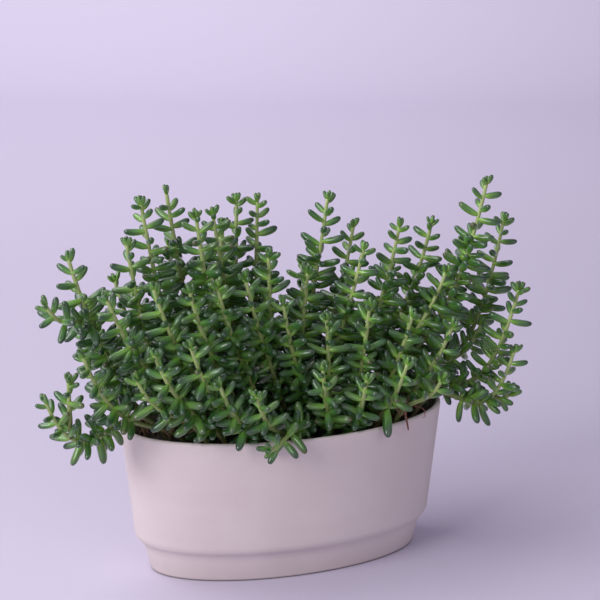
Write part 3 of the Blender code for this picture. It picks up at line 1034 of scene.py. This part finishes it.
@dataclass
class Bush:
    """All the leafy stems, by the rule and the draws of their solids, and small leaves besides."""

    bed: SoilBed
    growth: Growth = field(default_factory=Growth)
    thicket: Thicket = field(default_factory=Thicket)
    everyone: list[Shoot] = field(default_factory=list)
    seed: int = 41
    line_points: int = 48
    stretches: int = 14
    root_rise: float = 0.12
    tip_turn: float = 0.34
    crown_height: float = 2.2 * MM
    pair_turn: float = 77.0
    pair_offset: float = 0.8 * MM
    turn_draw: float = 14.0
    opposite_draw: Pair = (158.0, 186.0)
    place_draw: float = 0.6 * MM
    size_draw: Pair = (0.86, 1.08)
    tilt_draw: float = 12.0
    spacing: Spacing = Spacing(0.35 * MM, 1.2)
    leaf_span: tuple[float, ...] = (0.14, 0.5, 0.97)
    leaf_bend: float = 0.75
    near_share: float = 1.1
    near_room: float = 6 * MM
    bud_length: float = 4.8 * MM
    bud_width: float = 3.8 * MM
    bud_room: float = 0.6
    bud_span: Pair = (0.4, 0.9)
    collar_below: float = 1.8 * MM
    collar_size: Pair = (0.88, 1.08)
    infill_from: float = 33 * MM
    infill_step: float = 2.0 * MM
    infill_size: Pair = (0.7, 0.95)
    infill_lean: Pair = (-30.0, 20.0)
    infill_spacing: Spacing = Spacing(0.08 * MM, 0.98)
    collar_draws: int = 9
    infill_draws: int = 5
    droopers: tuple[Drooper, ...] = (Drooper("front_shoot_09", 0.44, (43.4, -56.2, 86.0), 5.2),)
    # Each try at a leaf: how far it turns and leans from what was wished, and its share of the length.
    tries: tuple[Triple, ...] = (
        (0, 0, 1.0), (16, 0, 1.0), (-16, 0, 1.0), (0, -14, 0.95), (26, -6, 0.9),
        (-26, -6, 0.9), (0, 12, 0.85), (10, -22, 0.8), (38, 0, 0.9), (-38, 0, 0.9),
        (0, -34, 0.85), (32, -24, 0.8), (-32, -24, 0.8), (0, 0, 0.68), (-20, -18, 0.62),
    )

    def stem_line(self, root: Vector, tip: Tip) -> StemLine:
        """The bent line of a stem from a root to the crown at its tip.

        Args:
            root: Where it starts.
            tip: The top of the shoot.

        Returns:
            The line.
        """
        end = Vector((tip.x, tip.y, tip.z)) * MM - UP * self.crown_height
        third = (end - root) / 3
        out = math.hypot(third.x, third.y) * 3
        rise = self.root_rise * out if tip.rise is None else tip.rise * MM
        turn = self.tip_turn * out if tip.turn is None else tip.turn * MM
        knots = root, root + third + UP * rise, end - third - UP * turn, end
        return StemLine(interpolate_bezier(*knots, self.line_points))

    def plant(self) -> dict[str, Shoot]:
        """Set out every shoot, with its stem and no leaves yet.

        Returns:
            The shoots by their solids' names.
        """
        shoots: dict[str, Shoot] = {}
        for row in ROWS:
            for number, tip in enumerate(row.tips):
                share = number / (len(row.tips) - 1)
                root = Vector((row.root_reach * (2 * share - 1) * MM, row.root_y * MM, self.bed.top))
                owner = len(shoots)
                seed = self.seed + 2 * owner
                shoot = Shoot(self.stem_line(root, tip), seed, owner, tip.bare)
                side = SIDE_SHOOTS.get((row.name, number + 1))
                if side:
                    fork, _ = shoot.line.at(side[0] * shoot.line.length)
                    shoot.branch = Shoot(self.stem_line(fork, side[1]), seed + 1, owner)
                shoots[f"{row.name}_shoot_{number + 1:02d}"] = shoot
        mains = list(shoots.values())
        self.everyone = [*mains, *(shoot.branch for shoot in mains if shoot.branch)]
        return shoots

    def keep_stem_clear(self, shoot: Shoot) -> None:
        """Put a stem and the bud at its tip into the thicket.

        Args:
            shoot: The stem.
        """
        line, owner = shoot.line, shoot.owner
        marks = [line.length * n / self.stretches for n in range(self.stretches + 1)]
        for start, end in itertools.pairwise(marks):
            bottom, top = line.at(start)[0], line.at(end)[0]
            self.thicket.add(bottom, bottom, top, shoot.radius(start), owner, is_stem=True)
        tip, direction = line.at(line.length)
        middle, top = (tip + direction * self.bud_length * share for share in self.bud_span)
        self.thicket.add(tip, middle, top, self.bud_width * self.bud_room, owner)

    def try_leaf(
        self, shoot: Shoot, below: float, degrees: float, tilt: float, length: float, spacing: Spacing
    ) -> None:
        """Add a leaf as it is wished for, or else as the first of the tries that is clear of all else.

        Args:
            shoot: The stem that it grows from.
            below: How far below the stem's tip it grows.
            degrees: How far round the stem it stands.
            tilt: How many degrees it leans from the stem.
            length: Its length.
            spacing: How close it may come to what stands there.
        """
        root, direction = shoot.line.at(shoot.line.length - below)
        neighbours = self.thicket.near(root, length * self.near_share + self.near_room)
        for turn, lean, share in self.tries:
            size = length * share
            width = self.growth.width(size)
            leaf = Leaf(root, direction, degrees + turn, tilt + lean, size, width, below)
            reach = width / 2 * spacing.reach
            room = reach + spacing.gap
            spots = [leaf.at(at) for at in self.leaf_span]
            balls = (*spots, leaf.at(self.leaf_bend))
            if not all(self.bed.planter.is_clear(ball, room, self.bed.top) for ball in balls):
                continue
            if neighbours.has_room(*spots, room, shoot.owner):
                self.thicket.add(*spots, reach, shoot.owner)
                shoot.leaves.append(leaf)
                return

    def grow_pairs(self) -> None:
        """Grow the pairs that the solids share."""
        growth = self.growth
        most = max(len(growth.pair_places(shoot.leafy)) for shoot in self.everyone)
        for number, shoot in itertools.product(range(most), self.everyone):
            places = growth.pair_places(shoot.leafy)
            if number >= len(places):
                continue
            place, draw = places[number], shoot.draw.uniform
            degrees = shoot.first_turn + self.pair_turn * number + draw(-self.turn_draw, self.turn_draw)
            for opposite, step in ((0, -self.pair_offset), (1, self.pair_offset)):
                swing = degrees + opposite * draw(*self.opposite_draw)
                below = max(place + step + draw(-self.place_draw, self.place_draw), 0)
                size = growth.length(place) * draw(*self.size_draw)
                tilt = growth.tilt(place) + draw(-self.tilt_draw, self.tilt_draw)
                self.try_leaf(shoot, below, swing, tilt, size, self.spacing)
            self.thicket.settle()

    def add_collars(self) -> None:
        """Grow a pair close under each crown where there is room for it."""
        below = self.collar_below
        for shoot in self.everyone:
            draw = random.Random(shoot.seed + self.collar_draws).uniform
            for turn in (0, 180):
                degrees = shoot.first_turn + turn + draw(-self.turn_draw, self.turn_draw)
                size = self.growth.length(below) * draw(*self.collar_size)
                tilt = self.growth.tilt(below) + draw(-self.tilt_draw, self.tilt_draw)
                self.try_leaf(shoot, below, degrees, tilt, size, self.infill_spacing)
            self.thicket.settle()

    def fill_in(self) -> None:
        """Grow smaller leaves wherever the lower stems have room left."""
        for shoot in self.everyone:
            draw = random.Random(shoot.seed + self.infill_draws).uniform
            below = self.infill_from
            while below < shoot.leafy:
                size = self.growth.length(below) * draw(*self.infill_size)
                tilt = self.growth.tilt(below) + draw(*self.infill_lean)
                self.try_leaf(shoot, below, draw(0, 360), tilt, size, self.infill_spacing)
                self.thicket.settle()
                below += self.infill_step

    def grow(self) -> dict[str, Shoot]:
        """Grow every shoot's leaves; the pairs at the tips find room first.

        Returns:
            The shoots by their solids' names.
        """
        shoots = self.plant()
        for shoot in self.everyone:
            self.keep_stem_clear(shoot)
        self.thicket.settle()
        for grow_some in (self.grow_pairs, self.add_collars, self.fill_in):
            grow_some()
            log.info("leaves so far: %d", sum(len(shoot.leaves) for shoot in self.everyone))
        for droop in self.droopers:
            shoot = shoots[droop.shoot]
            spot = shoot.line.at(shoot.line.length * droop.share)
            below = shoot.line.length * (1 - droop.share)
            leaf = Leaf.reaching(*spot, Vector(droop.tip) * MM, droop.width * MM, below)
            shoot.leaves.append(leaf)
        return shoots


class CrownLeaf(NamedTuple):
    """A small leaf of the crown at a tip: its turn and tilt in degrees, and the rest in mm."""

    turn: float
    below: float
    length: float
    width: float
    tilt: float


@dataclass
class LeafyStem:
    """One shoot in full: a round stem with its plump leaves and the crown at its tip."""

    name: str
    shoot: Shoot
    draft: MeshDraft = field(default_factory=MeshDraft)
    sunk: float = 5.5 * MM
    stem_draws: int = 7
    leaf_draws: int = 3
    stem_sides: int = 9
    stem_step: float = 2.4 * MM
    least_rings: int = 6
    roundness: float = 0.86
    foot_slim: float = 0.8
    slim_reach: float = 0.4
    swell_draw: Pair = (0.92, 1.1)
    leaf_sides: int = 10
    plumpness: float = 1.1
    depth: float = 1.0
    top_flat: float = 0.86
    plump_draw: Pair = (0.92, 1.08)
    blunt_draw: Pair = (-0.04, 0.04)
    blunt_span: Pair = (0.3, 0.9)
    odd_chance: float = 0.07
    spent_age: float = 0.5
    spent_loss: float = 0.25
    spent_look: float = 0.7
    fresh_reach: float = 9 * MM
    fresh_tip: float = 0.4
    fresh_odd: float = 0.7
    # How far along a leaf each ring lies, and its share of the full width.
    stations: tuple[Pair, ...] = (
        (0.0, 0.4), (0.1, 0.58), (0.22, 0.82), (0.37, 0.96), (0.54, 1.0),
        (0.72, 0.98), (0.85, 0.86), (0.93, 0.67), (0.98, 0.4), (1.0, 0.12),
    )
    crown: tuple[CrownLeaf, ...] = (
        CrownLeaf(10, 0.0, 5.2, 2.3, 18),
        CrownLeaf(190, 0.0, 4.9, 2.2, 22),
        CrownLeaf(98, 0.5, 6.4, 2.6, 42),
        CrownLeaf(276, 0.8, 6.1, 2.5, 47),
    )
    crown_size: Pair = (0.88, 1.12)
    crown_swing: Pair = (-12, 12)
    crown_lean: Pair = (-6, 8)

    def add_stem(self, shoot: Shoot, sunk: float) -> None:
        """Add a stem.

        Args:
            shoot: The stem.
            sunk: How far it goes down before its line starts.
        """
        draw = random.Random(shoot.seed + self.stem_draws)
        count = max(round(shoot.line.length / self.stem_step), self.least_rings)
        turns = np.linspace(0, 360, self.stem_sides, endpoint=False)
        places = [(0.0, shoot.line.points[0] - UP * sunk, UP)] if sunk else []
        for n in range(len(places), count + 1):
            places.append((n / count, *shoot.line.at(shoot.line.length * n / count)))
        rings = []
        for share, point, direction in places:
            slim = self.foot_slim + (1 - self.foot_slim) * min(share / self.slim_reach, 1)
            radius = shoot.radius(shoot.line.length * share) * self.roundness * slim
            radius *= draw.uniform(*self.swell_draw)
            rings.append([list(point + outward(direction, turn) * radius) for turn in turns])
        along = np.array([[share] for share, _, _ in places])
        marks = {"along": along, "upper": 0.0, "shade": 0.5, "fresh": 0.0, "spent": 0.0}
        self.draft.add_loft(np.array(rings), 1, marks)

    def add_leaf(self, leaf: Leaf, draw: random.Random, age: float) -> None:
        """Add a leaf.

        Args:
            leaf: The leaf.
            draw: The shoot's own draws.
            age: From 0 for a leaf at the tip to 1 for the lowest.
        """
        spent = float(age > self.spent_age and draw.random() < self.odd_chance)
        half = leaf.width / 2 * self.plumpness * (1 - self.spent_loss * spent)
        plump, blunt = draw.uniform(*self.plump_draw), draw.uniform(*self.blunt_draw)
        turns = np.linspace(0, math.tau, self.leaf_sides, endpoint=False)
        round_up = np.where(np.sin(turns) > 0, self.top_flat, 1.0) * np.sin(turns) * self.depth * plump
        aim, across, lift = np.array(leaf.aim), np.array(leaf.across), np.array(leaf.lift)
        first, last = self.blunt_span
        rings = []
        for share, size in self.stations:
            up = lift - aim * (2 * leaf.curl * share)
            up /= np.linalg.norm(up)
            section = np.outer(np.cos(turns), across) + np.outer(round_up, up)
            swell = size + blunt * (first < share < last)
            rings.append(np.array(leaf.at(share)) + half * swell * section)
        fresh = max(0.0, 1 - leaf.below / self.fresh_reach) * self.fresh_tip
        fresh += self.fresh_odd * (draw.random() < self.odd_chance)
        marks = {
            "along": np.array([[share] for share, _ in self.stations]),
            "upper": np.sin(turns)[None, :],
            "shade": draw.random(),
            "fresh": min(fresh, 1.0),
            "spent": self.spent_look * spent,
        }
        self.draft.add_loft(np.array(rings), 0, marks)

    def add_crown(self, shoot: Shoot, draw: random.Random) -> None:
        """Add the small leaves that stand together at the tip.

        Args:
            shoot: The stem.
            draw: The shoot's own draws.
        """
        for small in self.crown:
            spot = shoot.line.at(shoot.line.length - small.below * MM)
            size = draw.uniform(*self.crown_size) * MM
            turn = shoot.first_turn + small.turn + draw.uniform(*self.crown_swing)
            tilt = small.tilt + draw.uniform(*self.crown_lean)
            leaf = Leaf(*spot, turn, tilt, small.length * size, small.width * size, small.below * MM)
            self.add_leaf(leaf, draw, 0.0)

    def build(self, skins: Sequence[Material]) -> Object:
        """Make the shoot and its side shoot as one piece.

        Args:
            skins: The leaves' material and the stem's.

        Returns:
            The piece.
        """
        for shoot, sunk in ((self.shoot, self.sunk), (self.shoot.branch, 0.0)):
            if shoot is None:
                continue
            draw = random.Random(shoot.seed + self.leaf_draws)
            self.add_stem(shoot, sunk)
            for leaf in shoot.leaves:
                self.add_leaf(leaf, draw, leaf.below / shoot.line.length)
            self.add_crown(shoot, draw)
        return install(self.draft.make(f"{self.name}_fine", skins), "leaf_green", self.name)


class Thread(NamedTuple):
    """A dry root: the shoot it grows from, how far up the stem, its radius and its further points in mm."""

    shoot: str
    share: float
    radius: float
    points: tuple[Triple, ...]


@dataclass
class DryRoots:
    """Dried air roots: a few that hang over the rim at the right, and short ones along the bare stems."""

    bed: SoilBed
    draft: MeshDraft = field(default_factory=MeshDraft)
    seed: int = 23
    sides: int = 6
    steps: int = 4
    taper: float = 0.6
    threads: tuple[Thread, ...] = (
        Thread("front_shoot_10", 0.36, 1.2, (
            (62, -43.5, 101.5), (60.2, -46, 99), (59.6, -47.6, 95), (60.3, -48.4, 91), (60.9, -49, 86.8),
        )),
        Thread("front_shoot_10", 0.47, 0.45, (
            (70, -44, 98.5), (72.3, -45, 96.8), (73.2, -45.4, 95.4), (72.4, -45.4, 94.2), (73.4, -45.3, 93),
            (72.3, -45, 91.8), (71.4, -45, 92.4),
        )),
        Thread("front_shoot_09", 0.6, 0.5, (
            (52.6, -52, 100.4), (54.4, -52, 101.1), (56, -52, 100.2), (56.3, -52, 98.6), (55.2, -52, 97.3),
            (53.8, -52, 97.6), (53.4, -52, 98.8), (54.3, -52, 99.5),
        )),
    )
    per_stem: int = 4
    stem_reach: Pair = (0.15, 0.95)
    length_draw: Pair = (4.0, 11.0)
    radius_draw: Pair = (0.2, 0.34)
    stretches: int = 5
    least_points: int = 3
    wander: float = 0.8
    first_fall: float = -0.4
    stray: float = 0.5
    fall: float = -0.35

    def smooth(self, points: Sequence[Vector]) -> list[Vector]:
        """A curve through points.

        Args:
            points: The points.

        Returns:
            The points of the curve.
        """
        ends = points[0] * 2 - points[1], points[-1] * 2 - points[-2]
        padded = [ends[0], *points, ends[1]]
        curve = []
        for a, b, c, d in zip(padded, padded[1:], padded[2:], padded[3:], strict=False):
            for t in np.linspace(0, 1, self.steps, endpoint=False).tolist():
                bend = (a * 2 - b * 5 + c * 4 - d) * t * t + (b * 3 - a - c * 3 + d) * t**3
                curve.append((b * 2 + (c - a) * t + bend) / 2)
        return [*curve, points[-1]]

    def add_thread(self, points: Sequence[Vector], radius: float) -> None:
        """Add a thread that thins out towards its end.

        Args:
            points: The points it runs through.
            radius: Its radius where it starts.
        """
        line = StemLine(self.smooth(points))
        turns = np.linspace(0, 360, self.sides, endpoint=False)
        rings = []
        for mark in line.marks:
            point, direction = line.at(mark)
            size = radius * (1 - self.taper * mark / line.length)
            rings.append([list(point + outward(direction, turn) * size) for turn in turns])
        self.draft.add_loft(np.array(rings))

    def hang(self, shoot: Shoot, draw: random.Random) -> tuple[list[Vector], float]:
        """A short root that hangs from the bare part of a stem, as far as it has room.

        Args:
            shoot: The stem.
            draw: The draws.

        Returns:
            Its points and its radius.
        """
        bare = shoot.line.length - shoot.leafy
        points = [shoot.line.at(bare * draw.uniform(*self.stem_reach))[0]]
        step = draw.uniform(*self.length_draw) * MM / self.stretches
        radius = draw.uniform(*self.radius_draw) * MM
        way = Vector((draw.uniform(-1, 1), draw.uniform(-1, 1), self.first_fall)) * self.wander
        for _ in range(self.stretches):
            strays = (draw.uniform(-self.stray, self.stray) for _ in "xy")
            way += Vector((*strays, self.fall))
            point = points[-1] + way.normalized() * step
            if not self.bed.planter.is_clear(point, radius, self.bed.top):
                break
            points.append(point)
        return points, radius

    def build(self, shoots: dict[str, Shoot], skin: Material) -> Object:
        """Make all the dry roots as one piece.

        Args:
            shoots: The shoots by their solids' names.
            skin: Its material.

        Returns:
            The piece.
        """
        for thread in self.threads:
            line = shoots[thread.shoot].line
            start = line.at(line.length * thread.share)[0]
            points = [start, *(Vector(point) * MM for point in thread.points)]
            self.add_thread(points, thread.radius * MM)
        draw = random.Random(self.seed)
        bare = [shoot for shoot in shoots.values() if shoot.bare is not None]
        for shoot in bare * self.per_stem:
            points, radius = self.hang(shoot, draw)
            if len(points) >= self.least_points:
                self.add_thread(points, radius)
        return install(self.draft.make("dry_roots", [skin]), "earth")


class Lamp(NamedTuple):
    """A soft square lamp: where it hangs, its watts, its side, what it faces and its spread in degrees."""

    name: str
    place: Triple
    power: float
    size: float
    target: Triple = (0, 0, 0.12)
    spread: float = 180


@dataclass
class Studio:
    """The camera, the paper sweep and the soft light.

    The lamps and the paper are placed as someone at the camera sees them: how far to the right of the
    planter's middle, how far beyond it and how high.
    """

    eye: Triple = (-0.3813, -1.0770, 0.4730)
    pitch: float = 15.35
    heading: float = -20.0
    lens: float = 120.0
    sensor: float = 36.0
    clip: Pair = (0.05, 20)
    paper_near: float = -3.0
    paper_far: float = 1.6
    paper_bend: float = 0.5
    paper_bend_lines: int = 24
    paper_top: float = 3.0
    paper_half_width: float = 4.0
    lamp_colour: Colour = (0.98, 0.97, 1.0)
    lamps: tuple[Lamp, ...] = (
        Lamp("window_left", (-1.25, -1.2, 0.95), 23, 1.0),
        Lamp("softbox_above", (-0.7, 0.1, 1.15), 10, 1.0),
        Lamp("fill_right", (0.9, -1.4, 0.9), 4, 1.2),
        Lamp("backdrop_wash", (-0.6, 0.9, 1.6), 9, 1.2, (-0.2, 2.0, 0.45), 110),
    )
    lilac: Colour = (0.80, 0.76, 0.92)
    lilac_strength: float = 0.38

    def set_camera(self) -> None:
        """Put up the camera."""
        data = bpy.data.cameras.new("photo_camera")
        data.lens = self.lens
        data.sensor_width = self.sensor
        data.clip_start, data.clip_end = self.clip
        camera = put("photo_camera", data)
        camera.location = self.eye
        camera.rotation_euler = (math.radians(90 - self.pitch), 0, math.radians(self.heading))
        bpy.context.scene.camera = camera

    def spot(self, right: float, away: float, height: float) -> Vector:
        """Turn a place in the studio into the scene's own axes.

        Args:
            right: How far it lies to the right.
            away: How far beyond the planter.
            height: How high.

        Returns:
            The place.
        """
        turn = math.radians(self.heading)
        across = Vector((math.cos(turn), math.sin(turn), 0))
        ahead = Vector((-math.sin(turn), math.cos(turn), 0))
        return across * right + ahead * away + UP * height

    def lay_paper(self, paper: Material) -> None:
        """Lay the floor, which bends up far behind the planter into a wall.

        Args:
            paper: Its material.
        """
        far, bend = self.paper_far, self.paper_bend
        turns = np.linspace(0, math.pi / 2, self.paper_bend_lines)
        curve = [(self.paper_near, 0.0)]
        curve += [(far + bend * math.sin(turn), bend - bend * math.cos(turn)) for turn in turns]
        curve += [(far + bend, self.paper_top)]
        sides = (-self.paper_half_width, self.paper_half_width)
        draft = MeshDraft()
        draft.points = [np.array([self.spot(side, *place) for place in curve for side in sides])]
        draft.faces = [(2 * i, 2 * i + 1, 2 * i + 3, 2 * i + 2) for i in range(len(curve) - 1)]
        draft.finish_numbers = [0] * len(draft.faces)
        draft.make("paper_sweep", [paper])

    def hang_lamps(self) -> None:
        """Hang the lamps."""
        for lamp in self.lamps:
            data = bpy.data.lights.new(lamp.name, "AREA")
            data.energy, data.size, data.color = lamp.power, lamp.size, self.lamp_colour
            data.spread = math.radians(lamp.spread)
            place = self.spot(*lamp.place)
            way = self.spot(*lamp.target) - place
            hung = put(lamp.name, data)
            hung.location = place
            hung.rotation_euler = way.to_track_quat("-Z", "Y").to_euler()

    def light_room(self) -> None:
        """Fill the room with even lilac light, and show colours without a film curve."""
        world = bpy.data.worlds.new("room")
        world.use_nodes = True
        sky = world.node_tree.nodes["Background"]
        sky.inputs["Color"].default_value = (*self.lilac, 1)
        sky.inputs["Strength"].default_value = self.lilac_strength
        bpy.context.scene.world = world
        bpy.context.scene.view_settings.view_transform = "Standard"

    def build(self) -> None:
        """Set up the camera, the paper and the light."""
        self.set_camera()
        self.lay_paper(StudioPaper().make())
        self.hang_lamps()
        self.light_room()


def main() -> None:
    """Build the studio, the planter, the soil and the bush, and note the sizes."""
    logging.basicConfig(level=logging.INFO, format="%(message)s")
    Studio().build()
    planter = Planter()
    planter.build(Bisque().make())
    bed = SoilBed(planter)
    bed.build(Potting().make())
    skins = [LeafSkin().make(), StemSkin().make()]
    shoots = Bush(bed).grow()
    for name, shoot in shoots.items():
        LeafyStem(name, shoot).build(skins)
    DryRoots(bed).build(shoots, DryRoot().make())


if __name__ == "__main__":
    main()
